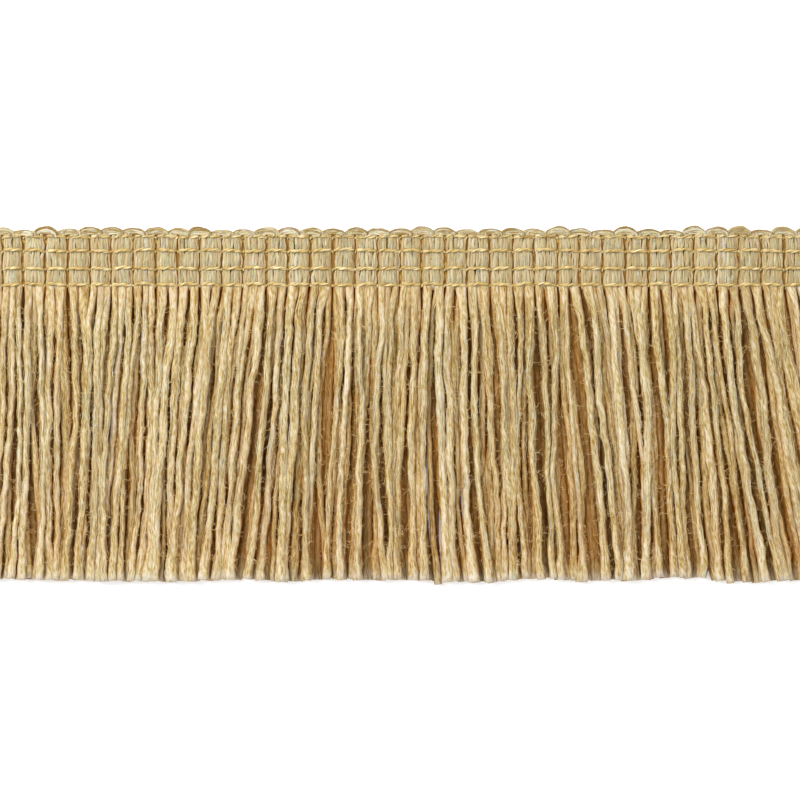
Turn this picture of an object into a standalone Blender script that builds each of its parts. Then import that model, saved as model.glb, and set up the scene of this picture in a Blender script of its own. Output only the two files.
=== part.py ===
"""Brush fringe trim: a cut length, lying face up on a table.

The trim is loops of straw-coloured yarn. Four rows of gold thread stitch them side by side into
a flat heading of upright bundles, with the loops' turns along its upper edge. Below the last row
the yarns hang free as a thick skirt of cut strands, three strands deep.

X runs along the trim, +Y towards the looped edge, and Z up from the table. The origin is in the
middle of the heading's back face. All sizes are in metres.
"""

import math
from collections import namedtuple

import bmesh
import bpy
import numpy as np

# Driving sizes
BUNDLES = 37
BUNDLE_PITCH = 0.004835
PITCH_GROWTH = 0.025
TRIM_WIDTH = 0.0765
HEADING_WIDTH = 0.0114
LOOP_RISE = 0.0013
THREAD_RADIUS = 0.00033
GAP = 0.0003
UNEVEN_SEED = 7

LENGTH = BUNDLES * BUNDLE_PITCH
HEADING_TOP = HEADING_WIDTH / 2
PARTING = -HEADING_WIDTH / 2
STRIP_TOP = PARTING - GAP
STRIP_WIDTH = 0.0020
STRIP_BOTTOM = STRIP_TOP - STRIP_WIDTH
CUT_ENDS = HEADING_TOP + LOOP_RISE - TRIM_WIDTH
STRAND_LENGTH = STRIP_BOTTOM - CUT_ENDS

# Heading
# One row for each line of points along the heading's face, from the looped edge down: where it
# runs, its height between two bundles, at a bundle's shoulder and on its crown, and its share of
# the loops' rise. The lines pinched under the stitching are the low ones.
Line = namedtuple("Line", "y between shoulder crown loop")
HEADING_LINES = (
    Line(HEADING_TOP, 0.00150, 0.00135, 0.00110, 1.00),
    Line(0.00540, 0.00250, 0.00225, 0.00190, 0.60),
    Line(0.00480, 0.00175, 0.00225, 0.00230, 0.00),
    Line(0.00325, 0.00185, 0.00270, 0.00290, 0.00),
    Line(0.00170, 0.00170, 0.00240, 0.00245, 0.00),
    Line(-0.00015, 0.00185, 0.00275, 0.00300, 0.00),
    Line(-0.00200, 0.00170, 0.00240, 0.00245, 0.00),
    Line(-0.00385, 0.00185, 0.00275, 0.00300, 0.00),
    Line(PARTING, 0.00170, 0.00240, 0.00245, 0.00),
)
# Points across one bundle, as shares of its width, and how much of a loop's rise each has.
ACROSS = (0.0, 0.25, 0.5, 0.75)
RISE_ACROSS = (1.0, 0.72, 0.0, 0.72)
# How far the bundles differ: their edges, their fullness and the smallest loop beside the largest.
EDGE_UNEVEN = 0.03
FULLNESS_UNEVEN = 0.05
LEAST_LOOP = 0.62

# Stitching
STITCH_LINES = (2, 4, 6, 8)
STITCH_LIFT = THREAD_RADIUS + 0.00036
STITCH_ACROSS = (0.0, 0.25, 0.75)

# Skirt
# Edges of a bundle's two strand roots, as shares of its width.
ROOT_EDGES = (0.0, 0.12, 0.44, 0.56, 0.88)
ROOTS_PER_BUNDLE = 2
STRIP_BETWEEN, STRIP_SHOULDER, STRIP_CROWN = 0.00215, 0.00270, 0.00290
STRIP_PINCH = 0.84
# One row for each layer of strands, from the table up: where its roots leave the strip as shares
# of the strip's height, the height of the strands' middle, their half width and half height, the
# quarter turn of their four sides, how far they lie beside the roots and their number of steps.
Layer = namedtuple("Layer", "root_low root_high middle half_width half_height turn beside steps")
LAYERS = (
    Layer(0.06, 0.29, 0.00060, 0.00070, 0.00060, 0.0, -0.0006, 3),
    Layer(0.39, 0.61, 0.00215, 0.00074, 0.00065, 45.0, 0.0011, 4),
    Layer(0.71, 0.94, 0.00382, 0.00080, 0.00070, 45.0, 0.0, 6),
)
# The steps down a strand grow a little towards its end, and so does its lean.
STEP_GROWTH = 1.15
LEAN_GROWTH = 1.1
# The share of the strands' length over which they come free of their bundles.
OPEN_SHARE = 0.16
# Each strand wanders in waves of its own, and neighbours sway together in clumps.
WANDER = 0.00055
WANDER_TURNS = (0.8, 1.7)
CLUMP = 0.0007
CLUMP_LENGTH = 0.017
CLUMP_DRIFT = 2.4
# How far the strands differ in width, roll and length, and how much a cut end fluffs out.
WIDTH_UNEVEN = 0.14
ROLL_DEG = 9.0
END_UNEVEN = 0.0007
END_FLARE = 1.12
SPREAD_ROUNDS = 80

# How far the cut ends lie to the side of their roots, for points along the trim.
Lean = namedtuple("Lean", "x shift")
LEANS = (
    Lean(-0.0895, 0.0000),
    Lean(-0.0640, -0.0019),
    Lean(-0.0420, -0.0055),
    Lean(-0.0190, -0.0016),
    Lean(0.0000, 0.0008),
    Lean(0.0310, 0.0038),
    Lean(0.0570, 0.0037),
    Lean(0.0895, 0.0062),
)

# Colours and finish, linear
Finish = namedtuple("Finish", "colour roughness metallic")
FINISHES = {
    "heading": Finish((0.58, 0.45, 0.25), 0.80, 0.0),
    "skirt": Finish((0.55, 0.41, 0.21), 0.78, 0.0),
    "stitching": Finish((0.68, 0.49, 0.17), 0.45, 0.0),
}


def clear_scene():
    for existing in list(bpy.data.objects):
        bpy.data.objects.remove(existing, do_unlink=True)


def make_collection(name):
    collection = bpy.data.collections.new(name)
    bpy.context.scene.collection.children.link(collection)
    return collection


def make_material(name, finish):
    material = bpy.data.materials.new(name)
    material.use_nodes = True
    shader = material.node_tree.nodes["Principled BSDF"]
    shader.inputs["Base Color"].default_value = (*finish.colour, 1.0)
    shader.inputs["Roughness"].default_value = finish.roughness
    shader.inputs["Metallic"].default_value = finish.metallic
    return material


def add_object(name, data, material, collection):
    data.materials.append(material)
    made = bpy.data.objects.new(name, data)
    collection.objects.link(made)
    return made


def object_from_bmesh(name, bm, material, collection):
    bmesh.ops.recalc_face_normals(bm, faces=bm.faces[:])
    mesh = bpy.data.meshes.new(name)
    bm.to_mesh(mesh)
    bm.free()
    return add_object(name, mesh, material, collection)


def bundle_x(along):
    """Place along the trim of a point counted in bundles. The pitch grows a little from end to end."""
    share = along / BUNDLES
    return LENGTH * (share - 0.5 + PITCH_GROWTH * share * (share - 1))


def make_uneven():
    """Small differences between the bundles, and between the loops that join them."""
    random = np.random.default_rng(UNEVEN_SEED)
    edge_shift = random.uniform(-EDGE_UNEVEN, EDGE_UNEVEN, BUNDLES + 1)
    edge_shift[[0, -1]] = 0.0
    fullness = 1 + random.uniform(-FULLNESS_UNEVEN, FULLNESS_UNEVEN, BUNDLES)
    loop_rise = LOOP_RISE * random.uniform(LEAST_LOOP, 1.0, BUNDLES + 1)
    return edge_shift, fullness, loop_rise


EDGE_SHIFT, FULLNESS, LOOP_RISES = make_uneven()


def point_across(bundle, share):
    """Place along the trim of a share of a bundle's width, with the bundles' uneven widths."""
    left = bundle + EDGE_SHIFT[bundle]
    right = bundle + 1 + EDGE_SHIFT[min(bundle + 1, BUNDLES)]
    return bundle_x(left + share * (right - left))


def numbered_grid(bm, columns, rows):
    """A flat grid of cells, and its points by column and row."""
    made = bmesh.ops.create_grid(bm, x_segments=columns, y_segments=rows, size=0.5)
    points = {}
    for vert in made["verts"]:
        column = round((vert.co.x + 0.5) * columns)
        row = round((vert.co.y + 0.5) * rows)
        points[column, row] = vert
    return points


def face_point(line, bundle, share_index):
    """A point of the heading's face: on a line, and at one of the shares across a bundle."""
    share = ACROSS[share_index]
    height = (line.between, line.shoulder, line.crown, line.shoulder)[share_index]
    loop = LOOP_RISES[bundle if share < 0.5 else bundle + 1]
    rise = loop * RISE_ACROSS[share_index] * line.loop
    if share > 0:
        height *= FULLNESS[bundle]
    return point_across(bundle, share), line.y + rise, height


def make_heading(material, collection):
    """The face is a grid that rises over each bundle and sinks under each row of stitches. It is
    then drawn down to the flat back."""
    bm = bmesh.new()
    columns = BUNDLES * len(ACROSS)
    points = numbered_grid(bm, columns, len(HEADING_LINES) - 1)
    for (column, row), vert in points.items():
        vert.co = face_point(HEADING_LINES[row], *divmod(column, len(ACROSS)))
    made = bmesh.ops.extrude_face_region(bm, geom=bm.faces[:])
    for item in made["geom"]:
        if isinstance(item, bmesh.types.BMVert):
            item.co.z = 0.0
    return object_from_bmesh("heading", bm, material, collection)


def make_stitch_row(number, line, material, collection):
    """One thread: flat over each bundle, and drawn down into the gap beside it."""
    heights = {0.0: line.between, 0.25: line.shoulder, 0.75: line.shoulder}
    route = []
    for bundle in range(BUNDLES):
        for share in STITCH_ACROSS:
            height = heights[share] * (FULLNESS[bundle] if share > 0 else 1.0)
            route.append((point_across(bundle, share), line.y, height + STITCH_LIFT))
    route.append((bundle_x(BUNDLES), line.y, line.between + STITCH_LIFT))
    curve = bpy.data.curves.new(f"stitch_row_{number}", "CURVE")
    curve.dimensions = "3D"
    curve.bevel_depth = THREAD_RADIUS
    curve.bevel_resolution = 0
    curve.use_fill_caps = True
    spline = curve.splines.new("POLY")
    spline.points.add(len(route) - 1)
    for point, place in zip(spline.points, route):
        point.co = (*place, 1.0)
    return add_object(curve.name, curve, material, collection)


def strip_height(share):
    """Height of the strip that holds the roots, at a share across a bundle."""
    shares = (0.0, ROOT_EDGES[1], 0.5, ROOT_EDGES[4], 1.0)
    heights = (STRIP_BETWEEN, STRIP_SHOULDER, STRIP_CROWN, STRIP_SHOULDER, STRIP_BETWEEN)
    return np.interp(share, shares, heights)


def make_strip(bm):
    """The narrow strip under the heading, and the faces where the strands leave it by strand."""
    heights = [0.0]
    for layer in LAYERS:
        heights += [layer.root_low, layer.root_high]
    heights.append(1.0)
    points = numbered_grid(bm, BUNDLES * len(ROOT_EDGES), len(heights) - 1)
    for (column, row), vert in points.items():
        bundle, edge = divmod(column, len(ROOT_EDGES))
        share = ROOT_EDGES[edge]
        vert.co = (point_across(bundle, share), STRIP_BOTTOM, heights[row] * strip_height(share))
    roots = {}
    for number in range(len(LAYERS)):
        row = 2 * number + 1
        for strand in range(BUNDLES * ROOTS_PER_BUNDLE):
            bundle, side = divmod(strand, ROOTS_PER_BUNDLE)
            column = bundle * len(ROOT_EDGES) + 2 * side + 1
            corners = {points[c, r] for c in (column, column + 1) for r in (row, row + 1)}
            faces = points[column, row].link_faces
            roots[number, strand] = next(face for face in faces if corners == set(face.verts))
    made = bmesh.ops.extrude_face_region(bm, geom=bm.faces[:])
    for item in made["geom"]:
        if isinstance(item, bmesh.types.BMVert):
            item.co.y = STRIP_TOP
            item.co.z *= STRIP_PINCH
    return roots


def kept_apart(places, half_widths):
    """The places of one layer's strands, eased apart until each has room beside the next."""
    places = places.copy()
    need = half_widths[1:] + half_widths[:-1] + GAP
    for _ in range(SPREAD_ROUNDS):
        short = np.clip(need - np.diff(places), 0.0, None) / 2
        places[:-1] -= short
        places[1:] += short
    order = np.arange(len(places)) - (len(places) - 1) / 2
    left_over = np.clip(need - np.diff(places), 0.0, None).max()
    return places + order * left_over


def layer_rings(number, layer):
    """For each step down a layer's strands: where they are along the trim, how far down they
    reach, their half widths and their roll."""
    random = np.random.default_rng([UNEVEN_SEED, number])
    count = BUNDLES * ROOTS_PER_BUNDLE
    roots = bundle_x((np.arange(count) + 0.5) / ROOTS_PER_BUNDLE)
    lean = np.interp(roots, [row.x for row in LEANS], [row.shift for row in LEANS])
    width = 1 + random.uniform(-WIDTH_UNEVEN, WIDTH_UNEVEN, count)
    phase = random.uniform(0, math.tau, count)
    turns = random.uniform(*WANDER_TURNS, count)
    roll = np.radians(random.uniform(-ROLL_DEG, ROLL_DEG, count)) * (layer.turn > 0)
    length = STRAND_LENGTH - random.uniform(0, END_UNEVEN, count)
    clump_phase = random.uniform(0, math.tau)
    rings = []
    for step in range(1, layer.steps + 1):
        share = (step / layer.steps) ** STEP_GROWTH
        opened = min(1.0, share / OPEN_SHARE)
        clump_turn = math.tau * roots / CLUMP_LENGTH + clump_phase + CLUMP_DRIFT * share
        sway = CLUMP * np.sin(clump_turn) + WANDER * np.sin(math.tau * turns * share + phase)
        places = roots + lean * share**LEAN_GROWTH + (layer.beside + sway) * opened
        flare = END_FLARE if step == layer.steps else 1.0
        half_width = layer.half_width * width * flare
        places = kept_apart(places, half_width)
        rings.append((places, STRIP_BOTTOM - length * share, half_width, roll))
    return rings


def corner_angles(face):
    """The direction of each corner of a root face from its middle, seen along the strand."""
    middle = face.calc_center_median()
    return [math.atan2(v.co.z - middle.z, v.co.x - middle.x) for v in face.verts]


def ring_corner(angle, layer, half_width, roll):
    """A corner of a four-sided ring about its middle. Unturned it is a level rectangle, and with
    a turn of 45 degrees it stands on an edge."""
    quarter = math.pi / 2
    corner = quarter * (math.floor(angle / quarter) + 0.5)
    grown = math.sqrt(2) if layer.turn == 0 else 1.0
    turned = corner + math.radians(layer.turn) + roll
    return half_width * grown * math.cos(turned), layer.half_height * grown * math.sin(turned)


def make_strands(bm, roots):
    """Draws each root face down its strand's rings, one step at a time."""
    for number, layer in enumerate(LAYERS):
        rings = layer_rings(number, layer)
        for strand in range(BUNDLES * ROOTS_PER_BUNDLE):
            face = roots[number, strand]
            angles = corner_angles(face)
            for places, ends, half_widths, rolls in rings:
                face = bmesh.ops.extrude_discrete_faces(bm, faces=[face])["faces"][0]
                for vert, angle in zip(face.verts, angles):
                    dx, dz = ring_corner(angle, layer, half_widths[strand], rolls[strand])
                    vert.co = (places[strand] + dx, ends[strand], layer.middle + dz)


def make_skirt(material, collection):
    bm = bmesh.new()
    make_strands(bm, make_strip(bm))
    return object_from_bmesh("skirt", bm, material, collection)


def main():
    clear_scene()
    collection = make_collection("brush_fringe_trim")
    materials = {name: make_material(name, finish) for name, finish in FINISHES.items()}
    make_heading(materials["heading"], collection)
    make_skirt(materials["skirt"], collection)
    for number, line_index in enumerate(STITCH_LINES, start=1):
        line = HEADING_LINES[line_index]
        if line.y == PARTING:
            line = line._replace(y=PARTING - GAP / 2)
        make_stitch_row(number, line, materials["stitching"], collection)


main()
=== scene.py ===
import bpy
import numpy as np
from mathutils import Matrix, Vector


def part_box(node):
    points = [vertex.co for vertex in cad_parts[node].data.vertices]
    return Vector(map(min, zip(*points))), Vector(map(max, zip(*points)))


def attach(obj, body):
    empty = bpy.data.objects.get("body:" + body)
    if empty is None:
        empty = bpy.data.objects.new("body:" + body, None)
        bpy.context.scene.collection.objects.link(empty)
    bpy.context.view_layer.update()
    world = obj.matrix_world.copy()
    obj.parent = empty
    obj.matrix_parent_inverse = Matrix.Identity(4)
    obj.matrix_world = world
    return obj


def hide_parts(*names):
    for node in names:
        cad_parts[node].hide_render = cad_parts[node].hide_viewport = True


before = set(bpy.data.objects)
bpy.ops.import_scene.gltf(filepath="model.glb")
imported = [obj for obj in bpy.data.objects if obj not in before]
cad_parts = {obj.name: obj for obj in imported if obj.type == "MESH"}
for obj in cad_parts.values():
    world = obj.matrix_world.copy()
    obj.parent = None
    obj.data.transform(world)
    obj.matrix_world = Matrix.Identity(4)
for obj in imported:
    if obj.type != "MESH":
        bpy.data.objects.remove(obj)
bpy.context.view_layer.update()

# The trim lies on its back. X runs along it, +Y is its looped edge and +Z its face. Metres.
headingLow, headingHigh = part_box("heading")
skirtLow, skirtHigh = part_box("skirt")
stitchNodes = [f"stitch_row_{number}" for number in (1, 2, 3, 4)]
trim = {
    "left": headingLow.x,
    "length": headingHigh.x - headingLow.x,
    "bundles": 37,
    "pitchGrowth": 0.025,  # bundles are a little wider towards +X
    "bundleShare": (0.93, 0.985),  # yarn across a bundle, the rest is the gap beside it
    "edgeShift": 0.035,  # how far a bundle's edge may lie off its place, in bundles
    "fullness": (0.93, 1.06),
    "rowShift": (-0.00019, -0.00011, -0.00026, 0.00011),  # from the CAD's rows to the photo's
    "pinch": 0.00085,  # how far above and below a row the yarn is drawn in
    "cutEnds": skirtLow.y,
    "floor": 0.00001,  # no yarn goes lower
    "seed": 23,
}
trim["rows"] = [sum(corner.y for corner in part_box(node)) / 2 + shift
                for node, shift in zip(stitchNodes, trim["rowShift"])]


def smooth(value):  # eased step from 0 to 1: 3 v squared less 2 v cubed
    value = np.clip(value, 0, 1)
    return value * value * (3 - 2 * value)


def unit(vectors):  # every vector at length 1
    return vectors / np.linalg.norm(vectors, axis=-1, keepdims=True)


def bundleX(along):  # place along the trim of a point counted in bundles
    share = np.asarray(along) / trim["bundles"]
    growth = trim["pitchGrowth"] * share * (share - 1)
    return trim["left"] + trim["length"] * (share + growth)


# Small differences of the bundles: their edges, their fullness and the gaps beside them.
random = np.random.default_rng(trim["seed"])
anyTurn = (0, 6.28)
edgeShift = random.uniform(-trim["edgeShift"], trim["edgeShift"], trim["bundles"] + 1)
edgeShift[[0, -1]] = 0
edgeX = bundleX(np.arange(trim["bundles"] + 1) + edgeShift)
bundleMiddle = (edgeX[:-1] + edgeX[1:]) / 2
bundleWidth = np.diff(edgeX)
fullness = random.uniform(*trim["fullness"], trim["bundles"])
bundleShare = random.uniform(*trim["bundleShare"], trim["bundles"])


def pinchAt(y):  # 1 on a row of stitches, falling to 0 between two: the sum of a bell for each row
    rows = np.array(trim["rows"])
    return np.exp(-(((np.asarray(y)[..., None] - rows) / trim["pinch"]) ** 2)).sum(axis=-1)


# Sum of sine waves along t, for many strands at once: each wave's size times the sine of its
# turns times t plus its phase, and each strand has its own sizes, turns and phases. A pair in a
# shape's wander, bob or swell gives the sizes and the turns.
waveSpread = {"turns": (0.72, 1.35), "sizes": (0.45, 1.5)}


def waves(strands, t, sizes, turns):
    ownTurns = np.array(turns) * random.uniform(*waveSpread["turns"], (strands, len(turns)))
    ownSizes = np.array(sizes) * random.uniform(*waveSpread["sizes"], (strands, len(turns)))
    phase = random.uniform(0, 2 * np.pi, (strands, len(turns)))
    swing = np.sin(2 * np.pi * ownTurns[:, None] * t[None, :, None] + phase[:, None])
    return (swing * ownSizes[:, None]).sum(axis=2)


def framesOf(path):  # level direction across each path, and the one that stands out from it
    tangent = unit(np.gradient(path, axis=1))
    across = unit(np.cross(tangent, (0.0, 0.0, 1.0)))
    return across, np.cross(across, tangent)


# A closed profile carried along many paths at once. At each ring the profile is an ellipse of
# the given half width and half height, its radius swelled by a cosine for each lobe and a little
# rough, and the lobes turn with the twist while the ellipse stays level.
def carryTubes(path, halfWidth, halfHeight, twist, shape):
    across, outward = framesOf(path)
    angle = 2 * np.pi * np.arange(shape["sides"]) / shape["sides"] - np.pi / 2
    lobe = 1 + shape["lobeDepth"] * np.cos(shape["lobes"] * (angle - twist[..., None]))
    lobe = lobe + random.uniform(-1, 1, lobe.shape) * shape["rough"]
    wide = (halfWidth[..., None] * lobe * np.cos(angle))[..., None]
    high = (halfHeight[..., None] * lobe * np.sin(angle))[..., None]
    return path[:, :, None] + wide * across[:, :, None] + high * outward[:, :, None]


# Faces of the tubes: a ring of quads between each two profiles and a flat cap at both ends.
def tubeFaces(strands, rings, sides):
    index = np.arange(strands * rings * sides).reshape(strands, rings, sides)
    here, below = index[:, :-1], index[:, 1:]
    quads = np.stack((here, below, np.roll(below, -1, 2), np.roll(here, -1, 2)), axis=-1)
    return quads.reshape(-1, 4).tolist() + index[:, 0].tolist() + index[:, -1, ::-1].tolist()


# Fibre coordinates in metres: U goes round the tube and turns with its twist, V runs along it.
def tubeUv(path, halfWidth, twist, sides):
    step = np.linalg.norm(np.diff(path, axis=1), axis=2)
    v = np.concatenate((np.zeros((len(path), 1)), np.cumsum(step, axis=1)), axis=1)
    turn = 2 * np.pi * np.arange(sides + 1) / sides - twist[..., None]
    u = turn * halfWidth.mean()
    uv = np.stack((u, np.broadcast_to(v[..., None], u.shape)), axis=-1)
    corners = (uv[:, :-1, :-1], uv[:, 1:, :-1], uv[:, 1:, 1:], uv[:, :-1, 1:])
    quads = np.stack(corners, axis=-2).reshape(-1, 2)
    caps = np.concatenate((uv[:, 0, :-1].reshape(-1, 2), uv[:, -1, :-1][:, ::-1].reshape(-1, 2)))
    return np.concatenate((quads, caps))


def makePiece(name, points, faces, material, uv=None, values=None):
    mesh = bpy.data.meshes.new(name)
    mesh.from_pydata(points.reshape(-1, 3).tolist(), [], faces)
    mesh.polygons.foreach_set("use_smooth", np.ones(len(mesh.polygons), dtype=bool))
    if uv is not None:
        mesh.uv_layers.new(name="fibre").data.foreach_set("uv", uv.astype(np.float32).ravel())
    for key, value in (values or {}).items():
        attribute = mesh.attributes.new(key, "FLOAT", "POINT")
        attribute.data.foreach_set("value", value.astype(np.float32).ravel())
    mesh.materials.append(material)
    piece = bpy.data.objects.new(name, mesh)
    bpy.context.scene.collection.objects.link(piece)
    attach(piece, "root")
    return piece


# Painted shade: how far a point lies down among the yarns, from 0 on the face to 1, which the
# yarn materials multiply in as a darker, richer gold. A strand's top and its flank each gain it
# with the drop under the face over a fade of their own, and the share of the two goes by how far
# the point faces sideways. The underside and the yarns at the trim's two ends count as open,
# and light comes in between the cut ends, so less shade is painted there.
paintedShadeShape = {
    "y": (0.0060, 0.0170, 0.0400, 0.0600), "face": (0.0034, 0.0038, 0.0042, 0.0047),
    "topFade": 0.0026, "topMost": 0.22, "flankFade": 0.0020, "flankLeast": 0.32,
    "flankFrom": 0.75, "flankOver": 0.9, "openBelow": 0.7,
    "sideFade": 0.0040, "power": 1.2, "endFade": 0.0055, "endShare": 0.7,
}


def paintedShadeOf(points, upright, share):
    y, z = points[..., 1], points[..., 2]
    under = np.interp(-y, paintedShadeShape["y"], paintedShadeShape["face"]) - z
    ends = smooth(1 - (y - trim["cutEnds"]) / paintedShadeShape["endFade"])
    top = paintedShadeShape["topMost"] * smooth(under / paintedShadeShape["topFade"])
    least = paintedShadeShape["flankLeast"]
    flank = least + (1 - least) * smooth(under / paintedShadeShape["flankFade"])
    sideways = smooth((paintedShadeShape["flankFrom"] - upright) / paintedShadeShape["flankOver"])
    paintedShade = top + (flank - top) * sideways
    paintedShade = np.clip(share * paintedShade, 0, 1) ** paintedShadeShape["power"]
    paintedShade = paintedShade * (1 - paintedShadeShape["endShare"] * ends)
    half = trim["length"] / 2
    fromSide = half - np.abs(points[:, :1, :1, 0] - trim["left"] - half)
    paintedShade = paintedShade * smooth((upright + 1) / paintedShadeShape["openBelow"])
    return paintedShade * smooth(fromSide / paintedShadeShape["sideFade"])


# Tubes as one piece. Each strand has a number of its own, and a tone that may change along it.
# Upright is 1 where the skin faces up: a fibre on a strand takes that of the strand below it.
def makeTubes(name, path, halfWidth, halfHeight, twist, shape, material,
              tone=None, number=None, upright=None):
    strands, rings = path.shape[:2]
    size = (strands, rings, shape["sides"])
    points = carryTubes(path, halfWidth, halfHeight, twist, shape)
    points[..., 2] = np.maximum(points[..., 2], trim["floor"])
    number = random.uniform(0, 1, strands) if number is None else number
    tone = np.zeros((strands, rings)) if tone is None else tone
    if upright is None:
        upright = np.sin(2 * np.pi * np.arange(shape["sides"]) / shape["sides"] - np.pi / 2)
    values = {
        "strand": np.broadcast_to(number[:, None, None], size),
        "tone": np.broadcast_to(tone[..., None], size),
        # painted shade of each point, which the material turns into a darker gold
        "paintedShade": paintedShadeOf(points, upright, shape["deepShare"]),
    }
    uv = tubeUv(path, halfWidth, twist, shape["sides"])
    return makePiece(name, points, tubeFaces(*size), material, uv, values)


# Space dyeing: long soft patches, above 0 where the yarn was dyed taupe and below 0 where it was
# left a pale lilac, from slow waves along the strand plus a lean of each strand to one side. A
# shape's dye gives the waves' turns, then the most taupe and the most lilac.
dyeShape = {"lean": 0.7, "sizes": (0.5, 0.35), "taupeFrom": 0.6, "taupeOver": 0.9,
            "lilacFrom": 1.0, "lilacOver": 0.7}


def dyeTone(strands, t, turns, taupe, lilac):
    lean = random.normal(0, dyeShape["lean"], strands)[:, None]
    patch = lean + waves(strands, t, dyeShape["sizes"], turns)
    dyed = smooth((patch - dyeShape["taupeFrom"]) / dyeShape["taupeOver"])
    left = smooth((-patch - dyeShape["lilacFrom"]) / dyeShape["lilacOver"])
    return taupe * dyed - lilac * left


# Materials. Colours are given as they would look on a screen, 0 to 255, and made linear here.
def paint(red, green, blue):
    shade = np.array((red, green, blue)) / 255
    linear = np.where(shade <= 0.04045, shade / 12.92, ((shade + 0.055) / 1.055) ** 2.4)
    return (*linear.tolist(), 1.0)


def nodeOf(tree, kind, **settings):
    node = tree.nodes.new(kind)
    for key, value in settings.items():
        setattr(node, key, value)
    return node


def mathNode(tree, operation, first, second):
    node = nodeOf(tree, "ShaderNodeMath", operation=operation)
    for socket, value in zip(node.inputs, (first, second)):
        if isinstance(value, (int, float)):
            socket.default_value = value
        else:
            tree.links.new(value, socket)
    return node.outputs[0]


def mixNode(tree, amount, first, second, blend="MIX"):
    node = nodeOf(tree, "ShaderNodeMix", data_type="RGBA", blend_type=blend)
    sockets = (node.inputs[0], node.inputs[6], node.inputs[7])
    for socket, value in zip(sockets, (amount, first, second)):
        if isinstance(value, (int, float, tuple)):
            socket.default_value = value
        else:
            tree.links.new(value, socket)
    return node.outputs[2]


def rampNode(tree, value, stops):
    ramp = nodeOf(tree, "ShaderNodeValToRGB")
    while len(ramp.color_ramp.elements) < len(stops):
        ramp.color_ramp.elements.new(0.5)
    for element, (place, colour) in zip(ramp.color_ramp.elements, stops):
        element.position = place
        element.color = colour
    tree.links.new(value, ramp.inputs[0])
    return ramp.outputs[0]


def stepNode(tree, value, start, width):  # ramp from black to white
    return rampNode(tree, value, ((start, (0, 0, 0, 1)), (start + width, (1, 1, 1, 1))))


# Raises the skin by the value, as high as the look says.
def bumpNode(tree, shader, value, look):
    bump = nodeOf(tree, "ShaderNodeBump")
    bump.inputs["Strength"].default_value = look["bump"]
    bump.inputs["Distance"].default_value = look["bumpDepth"]
    tree.links.new(value, bump.inputs["Height"])
    tree.links.new(bump.outputs[0], shader.inputs["Normal"])


# Noise drawn out along the fibres: the UV in metres is scaled by so many grains a metre round
# the strand and along it, and each strand's number moves it to a part of the noise of its own.
def streakNode(tree, around, along, detail, offset):
    fibre = nodeOf(tree, "ShaderNodeUVMap", uv_map="fibre")
    strand = nodeOf(tree, "ShaderNodeAttribute", attribute_name="strand")
    scaled = nodeOf(tree, "ShaderNodeVectorMath", operation="MULTIPLY")
    scaled.inputs[1].default_value = (around, along, 0)
    moved = nodeOf(tree, "ShaderNodeCombineXYZ")
    tree.links.new(mathNode(tree, "MULTIPLY", strand.outputs["Fac"], offset), moved.inputs[2])
    total = nodeOf(tree, "ShaderNodeVectorMath", operation="ADD")
    noise = nodeOf(tree, "ShaderNodeTexNoise")
    noise.inputs["Scale"].default_value = 1.0
    noise.inputs["Detail"].default_value = detail
    tree.links.new(fibre.outputs[0], scaled.inputs[0])
    tree.links.new(scaled.outputs[0], total.inputs[0])
    tree.links.new(moved.outputs[0], total.inputs[1])
    tree.links.new(total.outputs[0], noise.inputs["Vector"])
    return noise.outputs["Fac"]


def shaderOf(name, look):
    material = bpy.data.materials.new(name)
    material.use_nodes = True
    shader = material.node_tree.nodes["Principled BSDF"]
    for socket, value in look["shader"].items():
        shader.inputs[socket].default_value = value
    return material, material.node_tree, shader


# Yarn: fine filaments over broader bands pick the colour, each strand is a little lighter or
# darker as a whole, and the tone turns it to taupe or lilac. Painted shade then multiplies in a
# richer, darker gold where a point lies low among the yarns or faces sideways. The filaments are
# raised as well.
def yarnMaterial(name, look):
    material, tree, shader = shaderOf(name, look)
    fine = streakNode(tree, look["filaments"], look["filamentLength"], detail=3.0, offset=47.0)
    broad = streakNode(tree, look["bands"], look["bandLength"], detail=2.0, offset=83.0)
    strand = nodeOf(tree, "ShaderNodeAttribute", attribute_name="strand").outputs["Fac"]
    value = 0.5
    for part, gain in ((fine, "fineGain"), (broad, "broadGain"), (strand, "strandGain")):
        swing = mathNode(tree, "MULTIPLY", mathNode(tree, "SUBTRACT", part, 0.5), look[gain])
        value = mathNode(tree, "ADD", swing, value)
    colour = rampNode(tree, value, look["colours"])
    tone = nodeOf(tree, "ShaderNodeAttribute", attribute_name="tone").outputs["Fac"]
    flecks = streakNode(tree, look["flecks"], look["fleckLength"], detail=1.0, offset=19.0)
    taupe = mathNode(tree, "MAXIMUM", tone, 0.0)
    lilac = mathNode(tree, "MAXIMUM", mathNode(tree, "MULTIPLY", tone, -1.0), 0.0)
    taken = stepNode(tree, flecks, look["dyeFrom"], look["dyeOver"])
    fleck = stepNode(tree, flecks, look["fleckFrom"], look["fleckOver"])
    fleckShare = mathNode(tree, "MULTIPLY", fleck, look["fleckShare"])
    colour = mixNode(tree, fleckShare, colour, look["fleck"])
    colour = mixNode(tree, mathNode(tree, "MULTIPLY", taupe, taken), colour, look["taupe"])
    colour = mixNode(tree, mathNode(tree, "MULTIPLY", lilac, taken), colour, look["lilac"])
    # Painted shade: the attribute mixes in the look's darker gold by multiplying.
    paintedShade = nodeOf(tree, "ShaderNodeAttribute", attribute_name="paintedShade").outputs["Fac"]
    colour = mixNode(tree, paintedShade, colour, look["deep"], "MULTIPLY")
    tree.links.new(colour, shader.inputs["Base Color"])
    bumpNode(tree, shader, value, look)
    return material


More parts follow.
